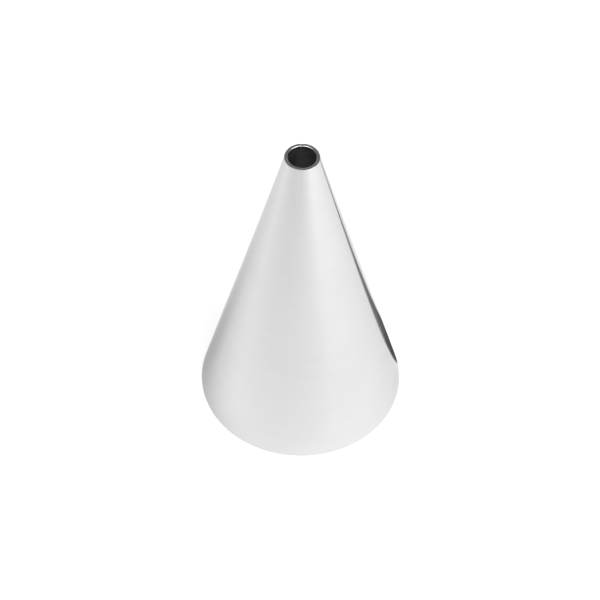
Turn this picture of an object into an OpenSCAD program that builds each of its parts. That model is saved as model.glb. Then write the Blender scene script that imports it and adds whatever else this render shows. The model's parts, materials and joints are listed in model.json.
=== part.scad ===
// Plain round piping nozzle: a hollow sheet-metal cone, rolled from one blank and closed by one
// weld down its back. The origin is the centre of the base rim, +Z runs up the axis to the outlet,
// and the seam lies on the +Y side. All lengths are in millimetres.

/* [Cone] */
// Height from the base rim to the outlet
overall_h = 50; // [35:1:70]
// Outer diameter of the base rim
base_d = 30; // [25:0.5:40]
// Diameter of the round outlet at the tip
outlet_d = 4; // [2:0.1:8]
// Length of the straight stretch that sizes the outlet
outlet_len = 0.8; // [0.5:0.1:1.5]

/* [Sheet] */
// Wall thickness at the base rim, measured along its flat bottom
base_wall = 0.5; // [0.4:0.05:0.7]
// Width of the ring round the outlet, seen from above
outlet_wall = 0.465; // [0.35:0.005:0.7]
// Size of the broken corners on both rims
edge_break = 0.08; // [0.04:0.01:0.12]

/* [Seam] */
// Gap between the two edges of the rolled blank, filled by the weld
seam_gap = 0.6; // [0.4:0.1:1]
// How far the weld stands proud of the outside
weld_crown = 0.06; // [0.02:0.01:0.12]

/* [Hidden] */
$fn = 128;

base_r = base_d / 2;
outlet_r = outlet_d / 2;
tip_r = outlet_r + outlet_wall;
taper = (base_r - tip_r) / overall_h;   // drop in outer radius for each unit of height
outlet_z = overall_h - outlet_len;      // where the straight outlet starts
cut_reach = base_d;                     // a cutting block longer than anything that it crosses

// Outer radius of the sheet at height z
function outer_r(z) = base_r - taper * z;

// Half section of the wall, as (radius, height), from the inside of the base rim round to the outlet.
// Proud moves the outer line out, for the weld's crown.
function wall_section(proud = 0) = [
    [base_r - base_wall, edge_break],
    [base_r - base_wall + edge_break, 0],
    [outer_r(0) - edge_break + proud, 0],
    [outer_r(edge_break) + proud, edge_break],
    [outer_r(overall_h - edge_break) + proud, overall_h - edge_break],
    [tip_r - edge_break + proud, overall_h],
    [outlet_r + edge_break, overall_h],
    [outlet_r, overall_h - edge_break],
    [outlet_r, outlet_z]
];

// The strip of space behind the axis that the weld takes up
module seam_strip() {
    translate([-seam_gap / 2, 0, -cut_reach / 2])
        cube([seam_gap, cut_reach, overall_h + cut_reach]);
}

// Rolled and polished sheet cone, open along the seam
module cone_shell() {
    color("gainsboro")
        difference() {
            rotate_extrude() polygon(wall_section());
            seam_strip();
        }
}

// Butt weld between the blank's edges: flush inside, slightly proud outside
module seam_weld() {
    color("silver")
        intersection() {
            rotate_extrude() polygon(wall_section(weld_crown));
            seam_strip();
        }
}

cone_shell();
seam_weld();
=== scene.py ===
# The looks of a plain round piping nozzle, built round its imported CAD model.
# Everything is in metres, +Z is up, the cone stands on z = 0 and its welded seam faces +Y.
import json
import math

import bmesh
import bpy
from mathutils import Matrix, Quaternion, Vector, noise


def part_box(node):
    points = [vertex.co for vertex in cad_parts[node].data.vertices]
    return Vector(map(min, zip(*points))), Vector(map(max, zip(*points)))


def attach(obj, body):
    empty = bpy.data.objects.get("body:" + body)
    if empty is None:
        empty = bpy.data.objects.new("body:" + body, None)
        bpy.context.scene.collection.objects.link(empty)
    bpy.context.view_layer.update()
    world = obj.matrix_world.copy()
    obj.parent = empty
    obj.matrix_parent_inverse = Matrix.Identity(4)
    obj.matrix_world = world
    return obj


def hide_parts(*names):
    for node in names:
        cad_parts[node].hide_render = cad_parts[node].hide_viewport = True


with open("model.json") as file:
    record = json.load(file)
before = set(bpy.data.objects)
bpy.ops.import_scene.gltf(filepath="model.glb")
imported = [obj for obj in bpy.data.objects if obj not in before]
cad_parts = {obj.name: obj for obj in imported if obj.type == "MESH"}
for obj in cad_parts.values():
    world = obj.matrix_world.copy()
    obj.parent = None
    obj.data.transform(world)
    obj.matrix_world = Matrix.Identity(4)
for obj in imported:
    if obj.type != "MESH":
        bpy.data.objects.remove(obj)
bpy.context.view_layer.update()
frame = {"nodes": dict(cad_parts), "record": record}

MM = 0.001
UM = 0.000001

# ---------------------------------------------------------------- sizes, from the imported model

cad_shell = frame["nodes"]["cone_shell"]
outlet = next(m for m in frame["record"]["mounts"] if m["name"] == "outlet")


def cad_radii_at(height):
    """Smallest and largest distance from the axis of the CAD shell's corners at one height."""
    corners = [v.co for v in cad_shell.data.vertices if abs(v.co.z - height) < UM]
    radii = [math.hypot(c.x, c.y) for c in corners]
    return min(radii), max(radii)


shell_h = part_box("cone_shell")[1].z
seam_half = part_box("seam_weld")[1].x
outlet_r = outlet["dims"]["r_mm"] * MM
base_flat = cad_radii_at(0)
tip_flat = cad_radii_at(shell_h)
edge_break = tip_flat[0] - outlet_r
outlet_z = shell_h - edge_break - outlet["dims"]["length_mm"] * MM
base_r = base_flat[1] + edge_break
base_inner_r = base_flat[0] - edge_break
tip_r = tip_flat[1] + edge_break

# Radii of the rounded corners of the wall's section
BASE_ROUND = 0.05 * MM
TIP_OUTER_ROUND = 0.03 * MM
OUTLET_ROUND = 0.085 * MM
OUTLET_BLEND = 2.5 * MM
ARC_STEPS = 8

SHELL_STEPS_AROUND = 512
SHELL_STEPS_ALONG = 56
WELD_STEPS_ACROSS = 16
RIPPLE_PITCH = 0.34 * MM
WELD_STEPS_PER_RIPPLE = 8
# Where two faces meet at more than this many degrees, the edge is drawn sharp
SHARP_ANGLE = 40

# Small departures from a perfect cone, all guessed
OVAL_DEPTH = 14 * UM
OVAL_PHASE = 0.7
SEAM_FLAT_DEPTH = 45 * UM
SEAM_FLAT_REACH = 1.6 * MM
SHEET_WAVE_DEPTH = 2.5 * UM
SHEET_WAVE_LENGTH = 7 * MM
SHEET_WAVE_STRETCH = 0.6

# The weld, dressed almost flush
WELD_CROWN = 45 * UM
RIPPLE_DEPTH = 6 * UM
RIPPLE_BOW = 0.9
RIPPLE_WANDER = 0.8
RIPPLE_WANDER_LENGTH = 1.7 * MM
CROWN_UNEVENNESS = 0.35
CROWN_UNEVEN_LENGTH = 2.3 * MM
CROWN_START = 0.4 * MM
CRATER_DEPTH = 0.12 * MM
CRATER_HALF_WIDTH = 0.09 * MM

# The steels' surface: pitch of the fine lines and of the broader bands, and size of the smudges
FINE_PITCH = 0.11 * MM
BAND_PITCH = 1.3 * MM
SMUDGE_SIZE = 6 * MM
# How bright the steels' reflection stays near grazing, where a plain metal's would be 1
EDGE_TINT = (0.8, 0.8, 0.8, 1)
# Turn of the anisotropy from the tangent round the axis, in whole turns
HIGHLIGHT_TURN = 0.25

# The stage: the table, and the clear card with dark strips of painted shade just over it
TABLE_HALF = 0.6
TABLE_GAP = 0.01 * MM
TABLE_GLOW = 0.035
CARD_HALF = 0.5
CARD_LIFT = 0.02 * MM
# How far a strip takes to fade at each end, in base radii
STRIP_FADE = 1.0
# The studio's dark bays: how many, the direction of the first in degrees from +X, the softness of
# their sides, and how dark they are
BAYS = 3
BAY_AZIMUTH = 30
BAY_EDGES = (0.1, 0.95)
BAY_DARKNESS = 0.7
# The studio's brightness low down and high up, and the direction heights between which it and the
# bays change
STUDIO_GLOW = (1.05, 0.22)
STUDIO_FADE = (0.12, 0.7)
BAY_FADE = (0.04, 0.14)


# ---------------------------------------------------------------- the wall's section

class Station:
    """One point of the wall's outline: radius, height, the outward normal there, and its side."""

    def __init__(self, point, normal, side):
        self.r, self.z = point
        self.nr, self.nz = normal
        self.side = side


def eased(count):
    """Fractions from 0 to 1 that crowd together near both ends."""
    return [0.5 - 0.5 * math.cos(math.pi * i / count) for i in range(count + 1)]


def corner_arc(before, corner, after, radius):
    """Points and normals of the arc that rounds one corner of a clockwise outline."""
    arriving = (corner - before).normalized()
    leaving = (after - corner).normalized()
    turn = arriving.angle(leaving)
    reach = radius * math.tan(turn / 2)
    start = corner - arriving * reach
    turning = 1 if arriving.cross(leaving) > 0 else -1
    to_centre = Vector((-arriving.y, arriving.x)) * turning
    centre = start + to_centre * radius
    points = []
    for i in range(ARC_STEPS + 1):
        angle = turning * turn * i / ARC_STEPS
        spoke = -to_centre
        turned = Vector((spoke.x * math.cos(angle) - spoke.y * math.sin(angle),
                         spoke.x * math.sin(angle) + spoke.y * math.cos(angle)))
        points.append((centre + turned * radius, turned * turning))
    return points


def wall_outline(steps_outside, steps_inside):
    """Stations round the wall's section: out along the base, up the outside, over the tip, down inside."""
    corners = [
        (Vector((base_inner_r, 0)), BASE_ROUND, "base"),
        (Vector((base_r, 0)), BASE_ROUND, "outside"),
        (Vector((tip_r, shell_h)), TIP_OUTER_ROUND, "tip"),
        (Vector((outlet_r, shell_h)), OUTLET_ROUND, "outlet"),
        (Vector((outlet_r, outlet_z)), OUTLET_BLEND, "inside"),
    ]
    steps = {"base": 4, "outside": steps_outside, "tip": 4, "outlet": 6,
             "inside": steps_inside}
    stations = []
    for i, (corner, radius, side) in enumerate(corners):
        before = corners[i - 1][0]
        after, next_radius, _ = corners[(i + 1) % len(corners)]
        following = corners[(i + 2) % len(corners)][0]
        arc = corner_arc(before, corner, after, radius)
        stations += [Station(point, normal, side) for point, normal in arc]
        start = arc[-1][0]
        end, normal = corner_arc(corner, after, following, next_radius)[0]
        for t in eased(steps[side])[1:-1]:
            stations.append(Station(start.lerp(end, t), normal, side))
    return stations


def form_error(angle, height):
    """How far the sheet stands off the perfect cone, outwards, at an angle and a height."""
    radius = base_r + (tip_r - base_r) * height / shell_h
    off_seam = abs(math.remainder(angle - math.pi / 2, math.tau)) * radius
    oval = OVAL_DEPTH * math.cos(2 * angle + OVAL_PHASE)
    flat = -SEAM_FLAT_DEPTH * math.exp(-((off_seam / SEAM_FLAT_REACH) ** 2)) * radius / base_r
    place = Vector((math.cos(angle) * radius, math.sin(angle) * radius, height * SHEET_WAVE_STRETCH))
    wave = SHEET_WAVE_DEPTH * noise.noise(place / SHEET_WAVE_LENGTH)
    return oval + flat + wave


# ---------------------------------------------------------------- meshes

def finish_mesh(name, mesh_edit, faces_inside, materials):
    """Turns the bmesh into a smooth-shaded object whose unseen side has the second material."""
    bmesh.ops.recalc_face_normals(mesh_edit, faces=mesh_edit.faces)
    for face in faces_inside:
        face.material_index = 1
    mesh = bpy.data.meshes.new(name)
    mesh_edit.to_mesh(mesh)
    mesh_edit.free()
    for material in materials:
        mesh.materials.append(material)
    mesh.shade_smooth()
    mesh.set_sharp_from_angle(angle=math.radians(SHARP_ANGLE))
    piece = bpy.data.objects.new(name, mesh)
    bpy.context.scene.collection.objects.link(piece)
    return piece


def grid_faces(mesh_edit, rows):
    """Quads between neighbouring rows of vertices; the rows close up on themselves. Returns them by row."""
    by_row = []
    for i, row in enumerate(rows):
        following = rows[(i + 1) % len(rows)]
        by_row.append([
            mesh_edit.faces.new((row[j], row[j + 1], following[j + 1], following[j]))
            for j in range(len(row) - 1)
        ])
    return by_row


def end_caps(mesh_edit, rows):
    """Closes the two cut ends of a strip that was swept along the wall's section."""
    mesh_edit.faces.new([row[0] for row in rows])
    mesh_edit.faces.new([row[-1] for row in reversed(rows)])


def build_shell(materials):
    """The rolled sheet: the wall's section swept from one side of the seam round to the other."""
    mesh_edit = bmesh.new()
    stations = wall_outline(SHELL_STEPS_ALONG, SHELL_STEPS_ALONG)
    rows = []
    for s in stations:
        seam_angle = math.asin(seam_half / s.r)
        first = math.pi / 2 + seam_angle
        sweep = math.tau - 2 * seam_angle
        row = []
        for j in range(SHELL_STEPS_AROUND + 1):
            angle = first + sweep * j / SHELL_STEPS_AROUND
            r = s.r + form_error(angle, s.z)
            row.append(mesh_edit.verts.new((r * math.cos(angle), r * math.sin(angle), s.z)))
        rows.append(row)
    by_row = grid_faces(mesh_edit, rows)
    end_caps(mesh_edit, rows)
    hidden = [f for s, faces in zip(stations, by_row) if s.side == "inside" for f in faces]
    return finish_mesh("sheet_cone", mesh_edit, hidden, materials)


def weld_rise(station, x):
    """How far the bead stands off the sheet's own line at a station, x metres off its middle."""
    across = math.cos(math.pi / 2 * x / seam_half) ** 2
    along = station.z / RIPPLE_PITCH + RIPPLE_BOW * (x / seam_half) ** 2
    along += RIPPLE_WANDER * noise.noise(Vector((0, station.z / RIPPLE_WANDER_LENGTH, 0)))
    ripple = RIPPLE_DEPTH * math.cos(math.tau * along)
    place = Vector((3, station.z / CROWN_UNEVEN_LENGTH, x / seam_half))
    unevenness = 1 + CROWN_UNEVENNESS * noise.noise(place)
    lift_off = min(1, station.z / CROWN_START)
    crown = WELD_CROWN * unevenness * lift_off if station.side == "outside" else 0
    return across * (crown + ripple * lift_off)


def crater(station, x):
    """Depth of the small hollow where the bead ends at the tip."""
    below_tip = (shell_h - station.z) / CRATER_DEPTH
    return CRATER_DEPTH * math.exp(-((x / CRATER_HALF_WIDTH) ** 2) - max(0, below_tip) ** 2)


def build_weld(materials):
    """The bead that fills the seam: the wall's section carried straight across the gap."""
    mesh_edit = bmesh.new()
    ripples = round(shell_h / RIPPLE_PITCH)
    stations = wall_outline(ripples * WELD_STEPS_PER_RIPPLE, ripples * WELD_STEPS_PER_RIPPLE // 2)
    rows = []
    for s in stations:
        row = []
        for j in range(WELD_STEPS_ACROSS + 1):
            x = seam_half * (2 * j / WELD_STEPS_ACROSS - 1)
            angle = math.acos(x / s.r)
            rise = weld_rise(s, x)
            r = s.r + form_error(angle, s.z) + rise * s.nr
            z = s.z + rise * s.nz - crater(s, x)
            row.append(mesh_edit.verts.new((r * math.cos(angle), r * math.sin(angle), z)))
        rows.append(row)
    by_row = grid_faces(mesh_edit, rows)
    end_caps(mesh_edit, rows)
    hidden = [f for s, faces in zip(stations, by_row) if s.side == "inside" for f in faces]
    return finish_mesh("seam_bead", mesh_edit, hidden, materials)


# ---------------------------------------------------------------- materials

def add_node(tree, kind, inputs=None, **settings):
    """Adds a node. An input is a number, a colour or another node's output."""
    made = tree.nodes.new(kind)
    for key, value in settings.items():
        setattr(made, key, value)
    for key, value in (inputs or {}).items():
        if isinstance(value, bpy.types.NodeSocket):
            tree.links.new(value, made.inputs[key])
        else:
            made.inputs[key].default_value = value
    return made


def calc(tree, operation, first, second=0.0):
    """A Math node's result."""
    return add_node(tree, "ShaderNodeMath", {0: first, 1: second}, operation=operation).outputs[0]


def noise_value(tree, vector, scale, detail=2.0):
    """A noise texture's value, about 0.5 on average."""
    made = add_node(tree, "ShaderNodeTexNoise",
                    {"Vector": vector, "Scale": scale, "Detail": detail})
    return made.outputs["Fac"]


def remap(tree, value, low, high, new_low, new_high, curve="LINEAR"):
    """Carries a range of values over to another range, without going past its ends."""
    made = add_node(tree, "ShaderNodeMapRange",
                    {"Value": value, "From Min": low, "From Max": high,
                     "To Min": new_low, "To Max": new_high}, interpolation_type=curve)
    return made.outputs["Result"]


def ring_vector(tree, turns, pitch):
    """A texture vector whose noise runs round the cone as fine lines, one pitch apart."""
    place = add_node(tree, "ShaderNodeTexCoord").outputs["Object"]
    xyz = add_node(tree, "ShaderNodeSeparateXYZ", {0: place}).outputs
    radius = calc(tree, "SQRT", calc(tree, "ADD", calc(tree, "MULTIPLY", xyz["X"], xyz["X"]),
                                     calc(tree, "MULTIPLY", xyz["Y"], xyz["Y"])))
    return add_node(tree, "ShaderNodeCombineXYZ", {
        "X": calc(tree, "MULTIPLY", calc(tree, "DIVIDE", xyz["X"], radius), turns),
        "Y": calc(tree, "MULTIPLY", calc(tree, "DIVIDE", xyz["Y"], radius), turns),
        "Z": calc(tree, "DIVIDE", xyz["Z"], pitch),
    }).outputs[0]


def scratches(tree, angle, length, width, amount):
    """Sparse fine scratches that lean at an angle, as a value from 0 to 1."""
    place = add_node(tree, "ShaderNodeTexCoord").outputs["Object"]
    leaned = add_node(tree, "ShaderNodeMapping",
                      {"Vector": place, "Rotation": (angle, angle * 0.6, angle * 1.7),
                       "Scale": (1 / length, 1 / width, 1 / width)}).outputs[0]
    return remap(tree, noise_value(tree, leaned, 1.0, 0.0), 1 - amount, 1 - amount / 2, 0, 1)


def steel(name, colour, roughness, uneven, line_depth, scratch_depth, anisotropy):
    """Stainless steel with fine lines round the cone, cloudy smudges and sparse scratches."""
    material = bpy.data.materials.new(name)
    material.use_nodes = True
    tree = material.node_tree
    tree.nodes.clear()
    place = add_node(tree, "ShaderNodeTexCoord").outputs["Object"]

    fine = noise_value(tree, ring_vector(tree, 3.0, FINE_PITCH), 1.0, 2.0)
    bands = noise_value(tree, ring_vector(tree, 1.2, BAND_PITCH), 1.0, 3.0)
    cloud = noise_value(tree, place, 1 / SMUDGE_SIZE, 4.0)
    marks = calc(tree, "MAXIMUM", scratches(tree, 0.5, 5 * MM, 0.07 * MM, 0.26),
                 scratches(tree, 2.1, 3 * MM, 0.05 * MM, 0.25))

    shade = remap(tree, calc(tree, "ADD", bands, cloud), 0.7, 1.3, 0.965, 1.0)
    tint = add_node(tree, "ShaderNodeMix", {"Factor": 1.0, "A": colour}, data_type="RGBA",
                    blend_type="MULTIPLY")
    tree.links.new(shade, tint.inputs["B"])

    rough = remap(tree, cloud, 0.3, 0.7, roughness - uneven, roughness + uneven)
    rough = calc(tree, "ADD", rough, remap(tree, fine, 0.3, 0.7, -uneven / 2, uneven / 2))
    rough = calc(tree, "ADD", rough, calc(tree, "MULTIPLY", marks, 0.06))

    relief = calc(tree, "SUBTRACT", calc(tree, "MULTIPLY", fine, line_depth),
                  calc(tree, "MULTIPLY", marks, scratch_depth))
    relief = calc(tree, "ADD", relief, calc(tree, "MULTIPLY", bands, line_depth * 2))
    bump = add_node(tree, "ShaderNodeBump", {"Height": relief, "Strength": 1.0, "Distance": 1.0})

    shader = add_node(tree, "ShaderNodeBsdfPrincipled",
                      {"Metallic": 1.0, "Specular Tint": EDGE_TINT,
                       "Anisotropic": anisotropy, "Anisotropic Rotation": HIGHLIGHT_TURN,
                       "Base Color": tint.outputs["Result"], "Roughness": rough,
                       "Normal": bump.outputs["Normal"]})
    around = add_node(tree, "ShaderNodeTangent", direction_type="RADIAL", axis="Z")
    tree.links.new(around.outputs["Tangent"], shader.inputs["Tangent"])
    output = add_node(tree, "ShaderNodeOutputMaterial")
    tree.links.new(shader.outputs["BSDF"], output.inputs["Surface"])
    return material


def record_colour(slot):
    """The record's base colour for a material slot, with full alpha."""
    found = next(m for m in frame["record"]["materials"] if m["slot"] == slot)
    return (*found["base_color"][:3], 1.0)


# ---------------------------------------------------------------- stage, light and camera

def flat_square(name, half, height, material):
    """A level square stage piece, centred on the axis."""
    mesh = bpy.data.meshes.new(name)
    corners = [(-half, -half, height), (half, -half, height), (half, half, height),
               (-half, half, height)]
    mesh.from_pydata(corners, [], [tuple(range(len(corners)))])
    mesh.materials.append(material)
    piece = bpy.data.objects.new(name, mesh)
    bpy.context.scene.collection.objects.link(piece)
    return piece


def table_material():
    """A pale matte table top that glows faintly."""
    material = bpy.data.materials.new("pale_table")
    material.use_nodes = True
    shader = material.node_tree.nodes["Principled BSDF"]
    shader.inputs["Base Color"].default_value = (0.8, 0.8, 0.8, 1)
    shader.inputs["Roughness"].default_value = 0.9
    shader.inputs["Specular IOR Level"].default_value = 0.0
    shader.inputs["Emission Color"].default_value = (1, 1, 1, 1)
    shader.inputs["Emission Strength"].default_value = TABLE_GLOW
    return material


def build_table():
    """The floor that the nozzle stands on."""
    flat_square("table", TABLE_HALF, -TABLE_GAP, table_material())


class PaintedShadeStrip:
    """A soft strip of painted shade on the card just over the table, starting at the base rim unless it is
    given a start radius.

    Angles are in degrees from +X towards +Y and lengths in base radii. The pairs are the values
    at the strip's near and far ends; darkness runs from 0 to 1.
    """

    def __init__(self, start, heading, length, half_widths, edge, darkness, start_radius=1):
        a, h = math.radians(start), math.radians(heading)
        self.start = Vector((math.cos(a), math.sin(a), 0)) * start_radius
        self.direction = Vector((math.cos(h), math.sin(h), 0))
        self.side = Vector((-math.sin(h), math.cos(h), 0))
        self.length = length
        self.half_widths = half_widths
        self.edge = edge
        self.darkness = darkness


def painted_shade_darkness(tree, place, strip):
    """How dark a strip of painted shade is at a place given in base radii: it fades at both ends and both
    edges.
    """
    offset = add_node(tree, "ShaderNodeVectorMath", {0: place, 1: strip.start},
                      operation="SUBTRACT").outputs[0]
    along = add_node(tree, "ShaderNodeVectorMath", {0: offset, 1: strip.direction},
                     operation="DOT_PRODUCT").outputs["Value"]
    across = add_node(tree, "ShaderNodeVectorMath", {0: offset, 1: strip.side},
                      operation="DOT_PRODUCT").outputs["Value"]
    half = remap(tree, along, 0, strip.length, *strip.half_widths)
    inside = calc(tree, "SUBTRACT", 1, calc(tree, "DIVIDE", calc(tree, "ABSOLUTE", across), half))
    dark = calc(tree, "MULTIPLY", remap(tree, inside, 0, strip.edge, 0, 1, "SMOOTHSTEP"),
                remap(tree, along, 0, strip.length, *strip.darkness))
    dark = calc(tree, "MULTIPLY", dark, remap(tree, along, -STRIP_FADE, 0, 0, 1, "SMOOTHSTEP"))
    end_fade = remap(tree, along, strip.length, strip.length + STRIP_FADE, 1, 0, "SMOOTHSTEP")
    return calc(tree, "MULTIPLY", dark, end_fade)


def shade_material(strips):
    """Clear, with soft black strips of painted shade."""
    material = bpy.data.materials.new("shade_card")
    material.use_nodes = True
    tree = material.node_tree
    tree.nodes.clear()
    position = add_node(tree, "ShaderNodeTexCoord").outputs["Object"]
    place = add_node(tree, "ShaderNodeVectorMath", {0: position, "Scale": 1 / base_r},
                     operation="SCALE").outputs[0]
    kept = 1.0
    for strip in strips:
        left = calc(tree, "SUBTRACT", 1, painted_shade_darkness(tree, place, strip))
        kept = calc(tree, "MULTIPLY", kept, left)
    clear = add_node(tree, "ShaderNodeBsdfTransparent").outputs[0]
    # Black emission where the strips of painted shade are, clear card elsewhere
    black = add_node(tree, "ShaderNodeEmission", {"Strength": 0.0}).outputs[0]
    mixed = add_node(tree, "ShaderNodeMixShader", {0: kept, 1: black, 2: clear}).outputs[0]
    add_node(tree, "ShaderNodeOutputMaterial", {"Surface": mixed})
    return material


def build_shade_card(strips):
    """A clear card over the table whose dark strips of painted shade only show as reflections in the steel.
    """
    card = flat_square("shade_card", CARD_HALF, CARD_LIFT, shade_material(strips))
    card.visible_camera = False
    card.visible_diffuse = False
    card.visible_transmission = False
    card.visible_shadow = False


def build_world():
    """A studio that is pale near the horizon, darker overhead, with soft dark bays round it."""
    world = bpy.data.worlds.new("studio")
    bpy.context.scene.world = world
    world.use_nodes = True
    tree = world.node_tree
    tree.nodes.clear()
    direction = add_node(tree, "ShaderNodeTexCoord").outputs["Generated"]
    xyz = add_node(tree, "ShaderNodeSeparateXYZ", {0: direction}).outputs
    height = xyz["Z"]
    azimuth = calc(tree, "ARCTAN2", xyz["Y"], xyz["X"])
    turns = calc(tree, "SUBTRACT", azimuth, math.radians(BAY_AZIMUTH))
    wave = calc(tree, "COSINE", calc(tree, "MULTIPLY", turns, BAYS))
    bay = remap(tree, wave, *BAY_EDGES, 0, BAY_DARKNESS, "SMOOTHSTEP")
    bay = calc(tree, "MULTIPLY", bay, remap(tree, height, *BAY_FADE, 0, 1, "SMOOTHSTEP"))
    strength = remap(tree, height, *STUDIO_FADE, *STUDIO_GLOW)
    strength = calc(tree, "MULTIPLY", strength, calc(tree, "SUBTRACT", 1, bay))
    background = add_node(tree, "ShaderNodeBackground", {"Color": (1, 1, 1, 1), "Strength": strength})
    output = add_node(tree, "ShaderNodeOutputWorld")
    tree.links.new(background.outputs[0], output.inputs["Surface"])


def softbox(name, azimuth, elevation, distance, size, watts):
    """A square soft light that faces the nozzle; azimuth 0 is over the camera's head."""
    data = bpy.data.lights.new(name, "AREA")
    data.shape = "SQUARE"
    data.size = size
    data.energy = watts
    lamp = bpy.data.objects.new(name, data)
    a, e = math.radians(azimuth), math.radians(elevation)
    away = Vector((math.sin(a) * math.cos(e), -math.cos(a) * math.cos(e), math.sin(e)))
    lamp.location = away * distance
    lamp.rotation_mode = "QUATERNION"
    lamp.rotation_quaternion = away.to_track_quat("Z", "Y")
    bpy.context.scene.collection.objects.link(lamp)


def build_camera(distance, elevation, lens, aim, roll):
    """The camera; azimuth 0 is its side, and it aims at a point near the axis."""
    data = bpy.data.cameras.new("camera")
    data.sensor_width = 36
    data.lens = lens
    data.clip_start = 0.01
    data.clip_end = 20
    camera = bpy.data.objects.new("camera", data)
    e = math.radians(elevation)
    camera.location = (0, -distance * math.cos(e), distance * math.sin(e))
    facing = (Vector(aim) - camera.location).to_track_quat("-Z", "Y")
    camera.rotation_mode = "QUATERNION"
    camera.rotation_quaternion = facing @ Quaternion((0, 0, 1), math.radians(roll))
    bpy.context.scene.collection.objects.link(camera)
    bpy.context.scene.camera = camera


# ---------------------------------------------------------------- the scene

sheet_steel = steel("sheet_steel", record_colour("shell_steel"), 0.13, 0.02, 0.25 * UM, 0.4 * UM, 0.3)
inner_steel = steel("inner_steel", record_colour("shell_steel"), 0.28, 0.03, 0.4 * UM, 0.4 * UM, 0.3)
bead_steel = steel("bead_steel", record_colour("weld_steel"), 0.26, 0.04, 0.2 * UM, 0.5 * UM, 0.0)

sheet_cone = build_shell([sheet_steel, inner_steel])
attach(sheet_cone, "root")
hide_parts("cone_shell")

seam_bead = build_weld([bead_steel, inner_steel])
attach(seam_bead, "root")
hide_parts("seam_weld")

build_table()
build_world()
softbox("overhead", 0, 77, 2.2, 2.4, 66)
softbox("front_right", 58, 40, 0.45, 0.3, 1.05)
softbox("front_left", -55, 45, 0.6, 0.42, 0.44)
# The first five strips are painted shadows, seen only in the steel's reflections; they stand for no known
# studio: they were fitted to the photo's shading, then rounded.
# The bays and their strips were chosen for contrast in the side and back views.
painted_shade_streaks = [
    PaintedShadeStrip(start=25, heading=48.5, length=5, half_widths=(0.23, 0.18), edge=0.05, darkness=(0.75, 1)),
    PaintedShadeStrip(start=27, heading=53, length=1, half_widths=(0.27, 0.04), edge=0.05, darkness=(0.7, 0)),
    PaintedShadeStrip(start=163, heading=124, length=2.4, half_widths=(0.6, 1.8), edge=1, darkness=(0.3, 0)),
    PaintedShadeStrip(start=200, heading=142, length=7, half_widths=(0.6, 8.5), edge=1, darkness=(0.1, 0)),
    PaintedShadeStrip(start=-105, heading=-115, length=9, half_widths=(1.2, 28), edge=1, darkness=(0.07, 0.25)),
]
# Painted shade: dark strips on the card far out under the studio's dark bays, seen only in the steel's
# reflections of the floor
bays = [PaintedShadeStrip(start=a, heading=a, length=22, half_widths=(2, 10), edge=1.0,
              darkness=(0.4, BAY_DARKNESS), start_radius=11)
        for a in range(BAY_AZIMUTH, BAY_AZIMUTH + 360, 360 // BAYS)]
build_shade_card(painted_shade_streaks + bays)
build_camera(distance=0.39, elevation=53.4, lens=153.8, aim=(-0.000164, 0, 0.018407), roll=0.4)

bpy.context.scene.view_settings.view_transform = "Standard"
